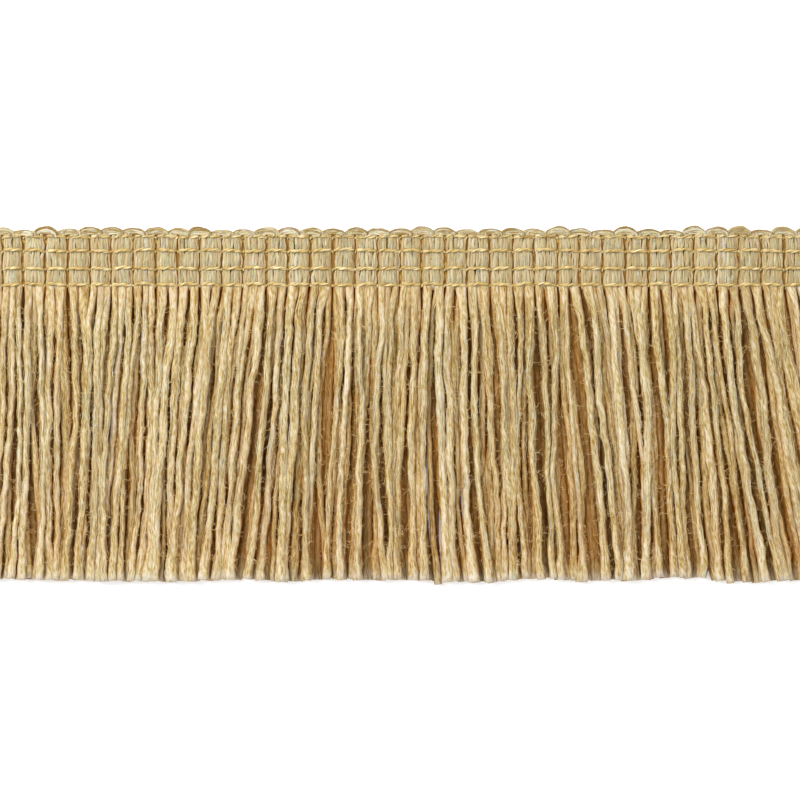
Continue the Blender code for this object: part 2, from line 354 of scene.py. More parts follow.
# Gold thread: long silky filaments that follow each ply, from dark gold to near white; the
# darkest and palest streaks are painted shade and painted highlights on the gold.
def threadMaterial(name, look):
    material, tree, shader = shaderOf(name, look)
    value = streakNode(tree, look["filaments"], look["filamentLength"], detail=2.0, offset=61.0)
    colour = rampNode(tree, value, look["colours"])
    tree.links.new(colour, shader.inputs["Base Color"])
    bumpNode(tree, shader, value, look)
    return material


# In each look, the tint for painted shade is the colour multiplied in where a yarn lies low among
# the others or faces sideways.
strawLook = {
    "shader": {"Roughness": 0.8, "Specular IOR Level": 0.03, "Sheen Weight": 0.02,
               "Sheen Roughness": 0.5, "Sheen Tint": paint(250, 218, 150),
               "Subsurface Weight": 0.4, "Subsurface Radius": (1.0, 0.45, 0.12),
               "Subsurface Scale": 0.0006},
    "filaments": 3800, "filamentLength": 800, "bands": 1900, "bandLength": 160,
    "fineGain": 1.3, "broadGain": 0.8, "strandGain": 0.13, "deep": paint(252, 162, 20),
    "colours": ((0.20, paint(138, 107, 50)), (0.40, paint(167, 146, 96)),
                (0.58, paint(186, 171, 134)), (0.82, paint(199, 190, 172))),
    "taupe": paint(154, 133, 100), "lilac": paint(192, 186, 176),
    "dyeFrom": 0.34, "dyeOver": 0.25, "flecks": 2280, "fleckLength": 560,
    "fleck": paint(172, 158, 142), "fleckFrom": 0.60, "fleckOver": 0.1, "fleckShare": 0.3,
    "bump": 0.7, "bumpDepth": 0.00012,
}
headingLook = {
    **strawLook,
    "filaments": 3400, "filamentLength": 260, "bands": 1900, "bandLength": 110,
    "flecks": 2040, "fleckLength": 182,
    "fineGain": 0.7, "broadGain": 0.4, "strandGain": 0.17, "deep": paint(250, 190, 50),
    "fleck": paint(172, 156, 142), "fleckFrom": 0.56, "fleckShare": 0.5,
    "colours": ((0.20, paint(132, 107, 62)), (0.40, paint(160, 141, 101)),
                (0.58, paint(178, 165, 130)), (0.82, paint(199, 193, 173))),
}
loopLook = {**headingLook, "fineGain": 1.1, "broadGain": 0.7, "strandGain": 0.22}
# Middle and under strands: the same straw yarn with darker, more golden colours and tints, painted
# shade for the lower layers they form.
middlePaintedShadeLook = {
    **strawLook,
    "deep": paint(248, 158, 24),
    "colours": ((0.20, paint(126, 95, 40)), (0.40, paint(154, 132, 80)),
                (0.58, paint(172, 155, 109)), (0.82, paint(192, 179, 146))),
}
deepLook = {
    **strawLook,
    "deep": paint(234, 164, 58),
    "colours": ((0.20, paint(112, 84, 34)), (0.40, paint(138, 118, 70)),
                (0.58, paint(154, 138, 94)), (0.82, paint(172, 158, 122))),
}
# Stray fibres are paler than the strands: painted light, so the hairs show in the shade between
# them.
hairPaintedLightLook = {**strawLook, "shader": {"Roughness": 0.7, "Specular IOR Level": 0.2},
            "colours": ((0.3, paint(204, 172, 108)), (0.7, paint(224, 202, 150)))}
threadLook = {
    "shader": {"Roughness": 0.36, "Specular IOR Level": 0.5, "Sheen Weight": 0.12,
               "Sheen Roughness": 0.35, "Sheen Tint": paint(250, 235, 190)},
    "filaments": 5200, "filamentLength": 260,
    # The darkest stop is painted shade and the near-white stop painted highlights, in streaks along
    # the plies.
    "colours": ((0.32, paint(128, 94, 30)), (0.47, paint(170, 140, 70)),
                (0.60, paint(202, 183, 130)), (0.72, paint(228, 217, 184))),
    "bump": 0.4, "bumpDepth": 0.00006,
}
# Ground cloth colours: a darker brown than the yarn, painted shade for the gaps between bundles.
groundPaintedShadeLook = {
    "shader": {"Roughness": 0.8, "Specular IOR Level": 0.2},
    "weaveScale": 120, "weaveDistortion": 1.5,
    "colours": ((0.3, paint(134, 98, 42)), (0.7, paint(176, 140, 74))),
    "bump": 0.6, "bumpDepth": 0.00015,
}


# Ground: a small basket of threads, from two bands crossed and multiplied.
def groundMaterial(name, look):
    material, tree, shader = shaderOf(name, look)
    place = nodeOf(tree, "ShaderNodeTexCoord")
    bands = []
    for direction in ("X", "Y"):
        wave = nodeOf(tree, "ShaderNodeTexWave", bands_direction=direction)
        wave.inputs["Scale"].default_value = look["weaveScale"]
        wave.inputs["Distortion"].default_value = look["weaveDistortion"]
        tree.links.new(place.outputs["Object"], wave.inputs["Vector"])
        bands.append(wave.outputs["Fac"])
    value = mathNode(tree, "MULTIPLY", *bands)
    tree.links.new(rampNode(tree, value, look["colours"]), shader.inputs["Base Color"])
    bumpNode(tree, shader, value, look)
    return material


headingYarn = yarnMaterial("heading yarn", headingLook)
loopYarn = yarnMaterial("loop yarn", loopLook)
skirtYarn = yarnMaterial("skirt yarn", strawLook)
# The middle and under strands take shaded copies of the straw yarn: painted shade.
middlePaintedShadeYarn = yarnMaterial("middle yarn painted shade", middlePaintedShadeLook)
underPaintedShadeYarn = yarnMaterial("under yarn painted shade", deepLook)
hairPaintedLightYarn = yarnMaterial("stray fibre painted light", hairPaintedLightLook)
goldThread = threadMaterial("gold thread", threadLook)
groundPaintedShadeCloth = groundMaterial("ground threads painted shade", groundPaintedShadeLook)
print("materials made")

# Heading ground: the band of crossing threads that holds the bundles, seen only in their gaps,
# where its darker brown is painted shade.
groundShape = {
    "top": 0.0056, "bottom": -0.0062, "height": 0.00140, "rib": 0.00020,
    "drawnIn": 0.5, "across": 8, "rows": 26, "thickness": 0.0005,
}


# Height of the ground: a low cosine rib under each bundle, drawn down at the rows of stitches.
def makeGround(shape):
    along = np.linspace(0, trim["bundles"], trim["bundles"] * shape["across"] + 1)
    y = np.linspace(shape["top"], shape["bottom"], shape["rows"])
    x = np.interp(along, np.arange(trim["bundles"] + 1), edgeX)
    rib = 0.5 - 0.5 * np.cos(2 * np.pi * along)
    drawn = 1 - shape["drawnIn"] * pinchAt(y)[None, :]
    z = shape["height"] + shape["rib"] * rib[:, None] * drawn
    grid = np.stack(np.broadcast_arrays(x[:, None], y, z), axis=-1)
    index = np.arange(z.size).reshape(z.shape)
    faces = np.stack((index[:-1, :-1], index[:-1, 1:], index[1:, 1:], index[1:, :-1]), axis=-1)
    ground = makePiece("heading_ground", grid, faces.reshape(-1, 4).tolist(), groundPaintedShadeCloth)
    solid = ground.modifiers.new("thickness", "SOLIDIFY")
    solid.thickness = shape["thickness"]
    solid.offset = 0
    return ground


ground = makeGround(groundShape)
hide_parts("heading")
print("ground made")

# Heading bundles: upright yarns side by side in each bundle, drawn in under each row.
faceShape = {
    "yarns": 12, "rings": 24, "top": 0.00535, "bottom": -0.00680,
    "halfWidth": 0.00037, "halfHeight": 0.00034, "shoulder": 0.00188, "crown": 0.00244,
    "domePower": 3.2, "drawnIn": 0.00038, "narrowed": 0.05, "thinned": 0.10,
    "pinchBelow": 0.00040, "placeSpread": 0.09, "thickness": (0.84, 1.26), "uneven": 0.00003,
    "wander": ((0.00012, 0.00006), (1.6, 4.2)), "slant": 0.00026, "twist": 2.5,
    "bob": ((0.00006, 0.00004), (2.0, 5.0)), "swell": ((0.06, 0.05), (1.5, 4.0)),
    "tuck": 0.0007, "tuckAbove": 0.0049, "tuckBelow": -0.0060, "tuckOver": (0.0005, 0.0006),
    "sides": 5, "lobes": 3, "lobeDepth": 0.05, "rough": 0.05, "deepShare": 1.2,
    "dye": ((0.6, 1.2), 0.9, 0.6),
}
backShape = {
    "yarns": 6, "rings": 13, "top": 0.00545, "bottom": -0.00665,
    "halfWidth": 0.00044, "halfHeight": 0.00034, "height": 0.00038, "drawnIn": 0.00028,
    "bundleShare": 0.88, "wander": ((0.00012, 0.00006), (1.4, 3.6)),
    "swell": ((0.03, 0.024), (1.5, 4.0)), "dye": ((0.6, 1.2), 0.9, 0.6),
    "sides": 6, "lobes": 3, "lobeDepth": 0.06, "rough": 0.0, "deepShare": 0.4,
}


# Centre of a yarn in a bundle: its place across from -1 to 1, a dome that falls off with a power
# of that place, lowered just below each row and at both ends, and a slow sideways wander.
def makeFaceYarns(shape):
    count = trim["bundles"] * shape["yarns"]
    bundle = np.repeat(np.arange(trim["bundles"]), shape["yarns"])
    place = np.tile(np.linspace(-1, 1, shape["yarns"]), trim["bundles"])
    place = np.clip(place + random.uniform(-1, 1, count) * shape["placeSpread"], -1, 1)
    t = np.linspace(0, 1, shape["rings"])
    y = shape["top"] + (shape["bottom"] - shape["top"]) * t
    drawn = pinchAt(y + shape["pinchBelow"])[None, :]
    reach = (bundleWidth[bundle] * bundleShare[bundle] / 2 - shape["halfWidth"])[:, None]
    wander = waves(count, t, *shape["wander"])
    slant = random.normal(0, shape["slant"], (count, 1)) * (t - 0.5)
    wander = wander + slant * (1 - place[:, None] ** 2)
    x = place[:, None] * reach * (1 - shape["narrowed"] * drawn)
    x = bundleMiddle[bundle][:, None] + x + wander
    dome = 1 - np.abs(place)[:, None] ** shape["domePower"]
    rise = (shape["crown"] - shape["shoulder"]) * fullness[bundle][:, None]
    z = shape["shoulder"] + rise * dome - shape["drawnIn"] * drawn * dome
    z = z + random.uniform(-shape["uneven"], shape["uneven"], (count, 1))
    over = shape["tuckOver"]
    ends = smooth((y - shape["tuckAbove"]) / over[0]) + smooth((shape["tuckBelow"] - y) / over[1])
    z = z + waves(count, t, *shape["bob"]) - shape["tuck"] * ends[None, :]
    path = np.stack((x, np.broadcast_to(y, x.shape), z), axis=-1)
    swell = random.uniform(*shape["thickness"], (count, 1)) - shape["thinned"] * drawn
    swell = swell + waves(count, t, *shape["swell"])
    twist = random.uniform(*anyTurn, count)[:, None]
    twist = twist + t * random.uniform(-shape["twist"], shape["twist"], count)[:, None]
    tone = dyeTone(count, t, *shape["dye"])
    return makeTubes("heading_face_yarns", path, shape["halfWidth"] * swell,
                     shape["halfHeight"] * swell, twist, shape, headingYarn, tone)


# The same bundles pressed flat on the back, lifted a little at each row over its threads.
def makeBackYarns(shape):
    count = trim["bundles"] * shape["yarns"]
    bundle = np.repeat(np.arange(trim["bundles"]), shape["yarns"])
    place = np.tile(np.linspace(-1, 1, shape["yarns"]), trim["bundles"])
    t = np.linspace(0, 1, shape["rings"])
    y = shape["top"] + (shape["bottom"] - shape["top"]) * t
    reach = (bundleWidth[bundle] * shape["bundleShare"] / 2 - shape["halfWidth"])[:, None]
    wander = waves(count, t, *shape["wander"])
    x = bundleMiddle[bundle][:, None] + place[:, None] * reach + wander
    z = shape["height"] + shape["drawnIn"] * pinchAt(y)[None, :] * np.ones((count, 1))
    path = np.stack((x, np.broadcast_to(y, x.shape), z), axis=-1)
    swell = 1 + waves(count, t, *shape["swell"])
    twist = random.uniform(*anyTurn, count)[:, None] * np.ones_like(t)
    tone = dyeTone(count, t, *shape["dye"])
    return makeTubes("heading_back_yarns", path, shape["halfWidth"] * swell,
                     np.full(x.shape, shape["halfHeight"]), twist, shape, headingYarn, tone)


headingPieces = [makeFaceYarns(faceShape), makeBackYarns(backShape)]
print("heading bundles made")

# Loops: where the yarns of one bundle turn over into the next, above the gap between them.
loopShape = {
    "yarns": 8, "rings": 18, "halfSpan": 0.00258, "spanStep": 0.00012, "base": 0.00490,
    "rise": 0.00170, "riseStep": 0.115, "riseSpread": (0.60, 1.12), "overTurn": 0.40,
    "edgeHeight": 0.00110, "faceHeight": 0.00215, "heightStep": 0.00011, "overlap": 0.00024,
    "climbOver": 1.05, "tuck": 0.0007, "tuckBelow": 0.00010, "tuckOver": 0.0004,
    "halfWidth": 0.00021, "halfHeight": 0.00030, "sides": 6, "lobes": 3, "lobeDepth": 0.16,
    "rough": 0.10, "deepShare": 0.2, "spanSpread": (0.96, 1.04), "skew": 0.00035,
    "wander": ((0.00006, 0.00004), (1.5, 4.0)), "bob": ((0.00005,), (2.5,)),
    "swell": ((0.08, 0.07), (1.2, 3.0)), "twist": (3, 8), "dye": ((0.4, 0.9), 0.6, 0.6),
    "outerPaintedShadeNumber": (-2.0, 0.6), "innerNumber": (-1.3, 1.9), "outerThicker": 1.35,
}


# An arch over each gap: X is the half span times the sine of the turn and Y the rise times its
# cosine, past a quarter turn at both ends, and Z climbs from the edge on to the face. The
# outermost yarn is painted darkest, a painted shade along the rim of each loop, and those
# inside it are flatter, so they fill it as a lens.
def makeLoops(shape):
    gaps = trim["bundles"] + 1
    rise = shape["rise"] * random.uniform(*shape["riseSpread"], gaps)
    gap = np.repeat(np.arange(gaps), shape["yarns"])
    inner = np.tile(np.arange(shape["yarns"]), gaps)
    count = len(gap)
    quarter = np.pi / 2 + shape["overTurn"]
    start = np.where(gap == 0, 0.0, -quarter)[:, None]
    end = np.where(gap == trim["bundles"], 0.0, quarter)[:, None]
    t = np.linspace(0, 1, shape["rings"])
    turn = start + (end - start) * t
    span = (shape["halfSpan"] - shape["spanStep"] * inner)[:, None]
    span = span * random.uniform(*shape["spanSpread"], (count, 1))
    lift = (rise[gap] * (1 - shape["riseStep"] * inner))[:, None]
    skew = random.uniform(-shape["skew"], shape["skew"], gaps)[gap][:, None]
    x = edgeX[gap][:, None] + span * np.sin(turn) + skew * np.cos(turn)
    y = shape["base"] + lift * np.cos(turn) + waves(count, t, *shape["wander"])
    climb = smooth((1 - np.cos(turn)) / shape["climbOver"])
    z = shape["edgeHeight"] + (shape["faceHeight"] - shape["edgeHeight"]) * climb
    z = z + (shape["heightStep"] * inner)[:, None] * (1 - 0.5 * climb)
    z = z + shape["overlap"] * np.sin(turn) + waves(count, t, *shape["bob"])
    tucked = smooth((shape["base"] - shape["tuckBelow"] - y) / shape["tuckOver"])
    path = np.stack((x, y, z - shape["tuck"] * tucked), axis=-1)
    swell = 1 + waves(count, t, *shape["swell"])
    twist = random.uniform(*anyTurn, count)[:, None]
    twist = twist + t * random.uniform(*shape["twist"], count)[:, None]
    tone = dyeTone(count, t, *shape["dye"]) * (inner > 0)[:, None]
    # Painted shade: the outermost yarn takes low numbers, so its colour is dark along the rim.
    outerPaintedShadeNumber = random.uniform(*shape["outerPaintedShadeNumber"], count)
    number = np.where(inner == 0, outerPaintedShadeNumber, random.uniform(*shape["innerNumber"], count))
    swell = swell * np.where(inner == 0, shape["outerThicker"], 1.0)[:, None]
    return makeTubes("heading_loops", path, shape["halfWidth"] * swell, shape["halfHeight"] * swell,
                     twist, shape, loopYarn, tone, number)


headingPieces.append(makeLoops(loopShape))
print("loops made")

# Stitching: two gold plies twisted together lie across each bundle and dive into the gaps.
threadShape = {
    "ringsPerBundle": 22, "plyRadius": 0.000272, "plyOffset": 0.000145, "plyPitch": 0.0042,
    "top": 0.00262, "gapHeight": 0.00070, "arch": 0.00024, "slant": 0.00017, "endTaper": 0.45,
    "wander": ((0.00010, 0.00006), (5, 17)), "raised": (-0.1, 1.7), "fuller": 0.0006,
    "sides": 6, "lobes": 2, "lobeDepth": 0.04, "rough": 0.0, "deepShare": 1.0,
}


# Route of one row: across each bundle the height is a plateau, 1 less the place to the power 5,
# with an arch in Y, a parabola of the place.
def threadRoute(row, shape):
    along = np.linspace(0, trim["bundles"], trim["bundles"] * shape["ringsPerBundle"] + 1)
    bundle = np.minimum(along.astype(int), trim["bundles"] - 1)
    place = 2 * (along - bundle) - 1
    flat = 1 - np.abs(place) ** 5
    x = np.interp(along, np.arange(trim["bundles"] + 1), edgeX)
    top = shape["top"] + (fullness[bundle] - 1) * shape["fuller"]
    z = shape["gapHeight"] + (top - shape["gapHeight"]) * flat
    slant = random.uniform(-shape["slant"], shape["slant"], trim["bundles"])[bundle]
    raised = random.uniform(*shape["raised"], trim["bundles"])[bundle]
    y = row + shape["arch"] * raised * (0.5 - place**2) * flat + slant * place * flat
    y = y + waves(1, along / trim["bundles"], *shape["wander"])[0]
    return np.stack((x, y, z), axis=-1), 1 - shape["endTaper"] * np.abs(place) ** 6


# Two plies circle each route, half a turn apart: the offset times the cosine of the turn across
# it and the sine outwards, and the turn grows with the length.
def pliedThread(name, routes, shape, swell=1.0):
    step = np.linalg.norm(np.diff(routes, axis=1), axis=2)
    length = np.concatenate((np.zeros((len(routes), 1)), np.cumsum(step, axis=1)), axis=1)
    across, outward = framesOf(routes)
    plies = []
    for start in (0, np.pi):
        turn = (2 * np.pi * length / shape["plyPitch"] + start)[..., None]
        plies.append(routes + shape["plyOffset"] * (np.cos(turn) * across + np.sin(turn) * outward))
    path = np.concatenate(plies)
    radius = np.full(path.shape[:2], shape["plyRadius"]) * swell
    twist = np.tile(length, (2, 1)) * 2 * np.pi / shape["plyPitch"]
    return makeTubes(name, path, radius, radius, twist, shape, goldThread)


# The row along the loops is drawn tighter, so it is thinner and lies lower.
edgeRowShape = {**threadShape, "top": 0.00246, "plyRadius": 0.000225, "plyOffset": 0.000150}

for number, row in enumerate(trim["rows"], start=1):
    rowShape = edgeRowShape if number == 1 else threadShape
    route, swell = threadRoute(row, rowShape)
    thread = pliedThread(f"stitches_{number}", route[None], rowShape, swell)
    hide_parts(f"stitch_row_{number}")
    headingPieces.append(thread)

# Ties: in each gap the thread comes up from the back on a slant, and on the back it runs along.
finePly = {**threadShape, "plyRadius": 0.00015, "sides": 5}
tieShape = {**finePly, "plyOffset": 0.00010, "plyPitch": 0.0017}
tieRoute = {
    "rings": 10, "reachX": 0.00034, "reachY": 0.00085, "low": 0.00085, "high": 0.00215,
    "rightShare": 0.75, "shiftX": 0.0001, "below": 0.00025, "longer": (0.8, 1.2),
}
backRunShape = {**finePly, "plyOffset": 0.00012}
backRoute = {"perBundle": 8, "height": 0.00030, "gapHeight": 0.00062, "wave": 0.00018}


# A short slanted hump in each gap: straight in X and Y, and a half sine in Z.
def makeTies(shape, route):
    gap, row = np.meshgrid(edgeX[1:-1], trim["rows"], indexing="ij")
    gap, row = gap.reshape(-1, 1), row.reshape(-1, 1)
    t = np.linspace(0, 1, route["rings"])
    side = np.where(random.uniform(0, 1, gap.shape) < route["rightShare"], 1.0, -1.0)
    shift = random.uniform(-route["shiftX"], route["shiftX"], gap.shape)
    x = gap + side * route["reachX"] * (2 * t - 1) + shift
    longer = random.uniform(*route["longer"], gap.shape)
    y = row - route["below"] + route["reachY"] * (t - 0.5) * longer
    z = route["low"] + (route["high"] - route["low"]) * np.sin(np.pi * t) * np.ones_like(x)
    return pliedThread("stitch_ties", np.stack((x, y, z), axis=-1), shape)


# The back of the rows: the same thread lying flat, lifted where it crosses a gap.
def makeBackStitches(shape, route):
    along = np.linspace(0, trim["bundles"], trim["bundles"] * route["perBundle"] + 1)
    x = np.interp(along, np.arange(trim["bundles"] + 1), edgeX)
    lift = np.abs(np.cos(np.pi * along)) ** 6
    z = route["height"] + (route["gapHeight"] - route["height"]) * lift
    wave = route["wave"] * np.sin(2 * np.pi * along)
    rows = np.array(trim["rows"])[:, None]
    path = np.stack(np.broadcast_arrays(x, rows + wave, z), axis=-1)
    return pliedThread("back_stitches", path, shape)


headingPieces += [makeTies(tieShape, tieRoute), makeBackStitches(backRunShape, backRoute)]
print("stitching made")

# Skirt: strands from under the last row to the cut ends, in three depths.
skirtShape = {
    "top": -0.0049,
    "lean": {  # millimetres: places along the trim, how far a strand rooted there has gone
               # sideways half way down and at its cut end, and how high the scissors cut there
        "roots": (-89.3, -82.9, -76.4, -69.9, -63.4, -57.0, -50.5, -44.0, -37.5, -31.0, -24.6,
                  -18.1, -11.6, -5.1, 1.3, 7.8, 14.3, 20.8, 27.2, 33.7, 40.2, 46.7, 53.2, 59.6,
                  66.1, 72.6, 79.1, 85.5, 89.5),
        "middle": (-0.8, -0.6, 0.8, 0.4, -0.8, -1.9, -1.2, -1.8, -3.0, -3.4, -2.0,
                   -2.0, -1.1, -0.7, -1.0, -1.1, 1.1, 1.2, 0.9, 1.8, 3.9, 3.9, 2.1, 1.8,
                   3.2, 3.4, 5.6, 5.0, 3.8),
        "end": (-1.4, -1.4, 0.5, -0.4, -2.1, -3.4, -3.0, -3.5, -5.5, -6.8, -4.9,
                -3.4, -1.7, -0.5, -0.2, -0.3, 3.5, 2.4, 1.9, 4.3, 6.7, 5.3, 3.0, 4.2,
                6.8, 8.4, 12.0, 10.0, 7.6),
        "cut": (0.3, 0.3, 0.1, 0.1, -0.1, -0.1, -0.3, -0.2, 0.1, 0.3, -0.4,
                0.0, 0.3, 0.0, 0.1, -0.1, -0.3, -0.4, 0.3, 0.4, -0.2, 0.1, 0.0, 0.7,
                0.4, -0.4, -0.4, 0.1, 0.0),
    },
    "cutLower": 0.00028, "cutWaves": ((0.00010, 0.0047, 1.0), (0.00007, 0.0029, 4.0)),
    "clumps": ((0.00034, 0.0064, 2.0), (0.00038, 0.0092, 2.4), (0.00038, 0.0146, -3.0)),
    "clumpedBy": 0.4, "dyeLots": 0.1, "dye": ((0.9, 2.3), 0.55, 0.12),
    "paleEnds": 0.8, "paleFrom": 0.962, "flareFrom": 0.84,
    "notch": {"x": 0.0681, "width": 0.0015, "push": 0.0012, "from": 0.95, "rise": 0.0010},
    "strayX": 0.0128, "levelBy": 0.2, "tuckedUntil": 0.016, "clearance": 0.00002,
    "rootWidth": 0.95, "rootHalfHeight": 0.00042, "bobTurns": (1.3, 3.4),
    "swell": ((0.07, 0.05, 0.04), (1.6, 4.0, 9.0)),
}
frontShape = {
    "perBundle": (2, 3), "oddShare": 0.30, "halfWidth": (0.00054, 0.00088),
    "halfHeight": (0.00046, 0.00062), "rootHeight": 0.00200, "height": (0.0024, 0.0036),
    "wander": (0.00036, 0.00015, 0.00010, 0.00006), "turns": (0.9, 2.6, 6.5, 14.0), "bob": 0.00022,
    "rings": 60, "sides": 10, "lobes": 5, "lobeDepth": 0.07, "rough": 0.09, "opens": 0.12,
    "fan": 0.00040, "leastShare": 0.0, "rootHalf": (0.0, 0.00120), "uneven": 0.38,
    "twistTurns": (0.6, 1.6), "short": (0.0, 0.00035), "strayLonger": 0.0, "flare": 0.42,
    "free": 1.0, "ownLean": 0.0009, "tuck": 0.0006, "deepShare": 1.0,
}
middleShape = {
    "perBundle": (2, 3), "oddShare": 0.30, "halfWidth": (0.00055, 0.00090),
    "halfHeight": (0.00050, 0.00065), "rootHeight": 0.00180, "height": (0.0016, 0.0024),
    "wander": (0.00045, 0.00018, 0.00010), "turns": (1.0, 2.8, 7.0), "bob": 0.00015,
    "rings": 40, "sides": 8, "lobes": 4, "lobeDepth": 0.08, "rough": 0.06, "opens": 0.14,
    "fan": 0.00050, "leastShare": 0.0, "rootHalf": (0.0, 0.00110), "uneven": 0.3,
    "twistTurns": (0.6, 1.6), "short": (0.0, 0.0003), "strayLonger": 0.0009, "flare": 0.35,
    "free": 0.9, "ownLean": 0.0009, "tuck": 0.0006, "deepShare": 1.4,
}
underShape = {
    "perBundle": (4, 5), "oddShare": 0.5, "halfWidth": (0.00098, 0.00116),
    "halfHeight": (0.00042, 0.00055), "rootHeight": 0.00075, "height": (0.00050, 0.00120),
    "wander": (0.00018, 0.00010, 0.00005), "turns": (1.0, 2.4, 5.0), "bob": 0.00006,
    "rings": 24, "sides": 6, "lobes": 4, "lobeDepth": 0.06, "rough": 0.05, "opens": 0.25,
    "fan": 0.00008, "leastShare": 1.0, "rootHalf": (0.0008, 0.0008), "uneven": 0.1,
    "twistTurns": (0.3, 1.2), "short": (0.0, 0.0002), "strayLonger": 0.0, "flare": 0.2,
    "free": 0.3, "ownLean": 0.00015, "tuck": 0.0, "deepShare": 2.4,
}
bundleLot = random.normal(0, skirtShape["dyeLots"], trim["bundles"])


# Roots share out each bundle's width, and a bundle's strands are as light or dark as its lot.
def strandRoots(shape):
    few, many = shape["perBundle"]
    counts = np.where(random.uniform(0, 1, trim["bundles"]) < shape["oddShare"], many, few)
    bundle = np.repeat(np.arange(trim["bundles"]), counts)
    weight = random.uniform(1 - shape["uneven"], 1 + shape["uneven"], counts.sum())
    inBundle = np.bincount(bundle, weight)[bundle]
    before = np.cumsum(weight) - weight
    before = before - before[np.cumsum(counts) - counts][bundle]
    place = (before + weight / 2) / inBundle - 0.5
    width = bundleWidth[bundle] * np.maximum(bundleShare[bundle], shape["leastShare"])
    rootHalf = np.clip(width * weight / inBundle / 2, *shape["rootHalf"])
    number = random.uniform(0, 1, len(bundle)) + bundleLot[bundle]
    return bundleMiddle[bundle] + place * width, rootHalf, number


# Height along Y of the scissors' cut at a place along the trim: the measured line, two small
# sine waves, and a bell over the notch.
def cutLineAt(x):
    lean, notch = skirtShape["lean"], skirtShape["notch"]
    line = np.interp(x * 1000, lean["roots"], lean["cut"]) / 1000
    line = line + trim["cutEnds"] - skirtShape["cutLower"]
    for size, length, phase in skirtShape["cutWaves"]:
        line = line + size * np.sin(2 * np.pi * x / length + phase)
    return line + notch["rise"] * np.exp(-(((x - notch["x"]) / notch["width"]) ** 2))


# Centre of a strand at t down it: its root, plus a parabola of t through the lean at its middle
# and its end, plus clumps that move neighbours together, plus the strand's own waves, once it is
# out of its bundle. Its height eases from the root's to its own. Towards the cut end it flares.
def makeStrands(name, shape, material):
    root, rootHalf, number = strandRoots(shape)
    count = len(root)
    t = np.linspace(0, 1, shape["rings"])
    opened = smooth(t / shape["opens"])
    lean = skirtShape["lean"]
    middle, end = (np.interp(root * 1000, lean["roots"], lean[key])[:, None] / 1000
                   for key in ("middle", "end"))
    x = root[:, None] + (4 * middle - end) * t + (2 * end - 4 * middle) * t**2
    x = x + random.normal(0, 1, (count, 1)) * shape["fan"] * opened
    clumped = shape["free"] * smooth(t / skirtShape["clumpedBy"])
    for size, length, drift in skirtShape["clumps"]:
        phase = 2 * np.pi * root[:, None] / length + random.uniform(*anyTurn)
        x = x + clumped * size * np.sin(phase + drift * t)
    x = x + random.normal(0, shape["ownLean"], (count, 1)) * opened * t
    x = x + opened * waves(count, t, shape["wander"], shape["turns"])
    notch = skirtShape["notch"]
    beside = x - notch["x"]
    parted = smooth((t - notch["from"]) / (1 - notch["from"]))
    parted = np.exp(-((beside / notch["width"]) ** 2)) * parted
    x = x + notch["push"] * np.sign(beside) * parted
    end = cutLineAt(x[:, -1:]) + random.uniform(*shape["short"], (count, 1))
    nearest = np.argmin(np.abs(x[:, -1] - skirtShape["strayX"]))
    end[nearest] -= shape["strayLonger"]
    y = skirtShape["top"] + (end - skirtShape["top"]) * t
    level = random.uniform(*shape["height"], count)[:, None]
    levelled = smooth(t / skirtShape["levelBy"])
    z = shape["rootHeight"] + (level - shape["rootHeight"]) * levelled
    z = z - shape["tuck"] * (1 - smooth(t / skirtShape["tuckedUntil"]))
    z = z + opened * waves(count, t, (shape["bob"], shape["bob"] / 2), skirtShape["bobTurns"])
    path = np.stack((x, y, z), axis=-1)
    ownHalf = random.uniform(*shape["halfWidth"], count)[:, None]
    rootHalf = rootHalf[:, None] * skirtShape["rootWidth"]
    flared = smooth((t - skirtShape["flareFrom"]) / (1 - skirtShape["flareFrom"]))
    halfWidth = rootHalf + (ownHalf - rootHalf) * opened
    halfWidth = halfWidth * (1 + waves(count, t, *skirtShape["swell"]))
    halfWidth = halfWidth * (1 + shape["flare"] * flared)
    ownHigh = random.uniform(*shape["halfHeight"], count)[:, None]
    rootHigh = skirtShape["rootHalfHeight"]
    halfHeight = rootHigh + (ownHigh - rootHigh) * levelled
    halfHeight = np.minimum(halfHeight, z - skirtShape["clearance"])
    turns = random.uniform(*shape["twistTurns"], count)
    twist = random.uniform(*anyTurn, count)[:, None] + 2 * np.pi * turns[:, None] * t
    tone = dyeTone(count, t, *skirtShape["dye"])
    # The tone is pushed pale over the last stretch before each cut end, so the ends are lighter.
    paled = smooth((t - skirtShape["paleFrom"]) / (1 - skirtShape["paleFrom"]))
    tone = tone - (tone + skirtShape["paleEnds"]) * paled
    piece = makeTubes(name, path, halfWidth, halfHeight, twist, shape, material,
                      tone, number)
    return piece, path, halfWidth, halfHeight


# Fibres that lie on the strands: each follows part of one strand at an angle round it that
# turns slowly with its twist, a little above or below the strand's skin on a slow wave.
fibreShape = {
    "perStrand": 20, "rings": 12, "sides": 3, "lobes": 3, "lobeDepth": 0.0, "rough": 0.0,
    "radius": (0.00005, 0.00011), "length": (0.05, 0.30), "turns": (0.2, 0.8), "skin": 1.0,
    "loose": ((0.00010, 0.00010), (1.5, 4.0)), "below": 0.012, "pastSide": 0.2, "tip": 0.25,
    "lilacShare": 0.10, "taupeShare": 0.16, "dyed": 0.8, "number": (-2.0, 2.4),
    "deepShare": 1.0,
}


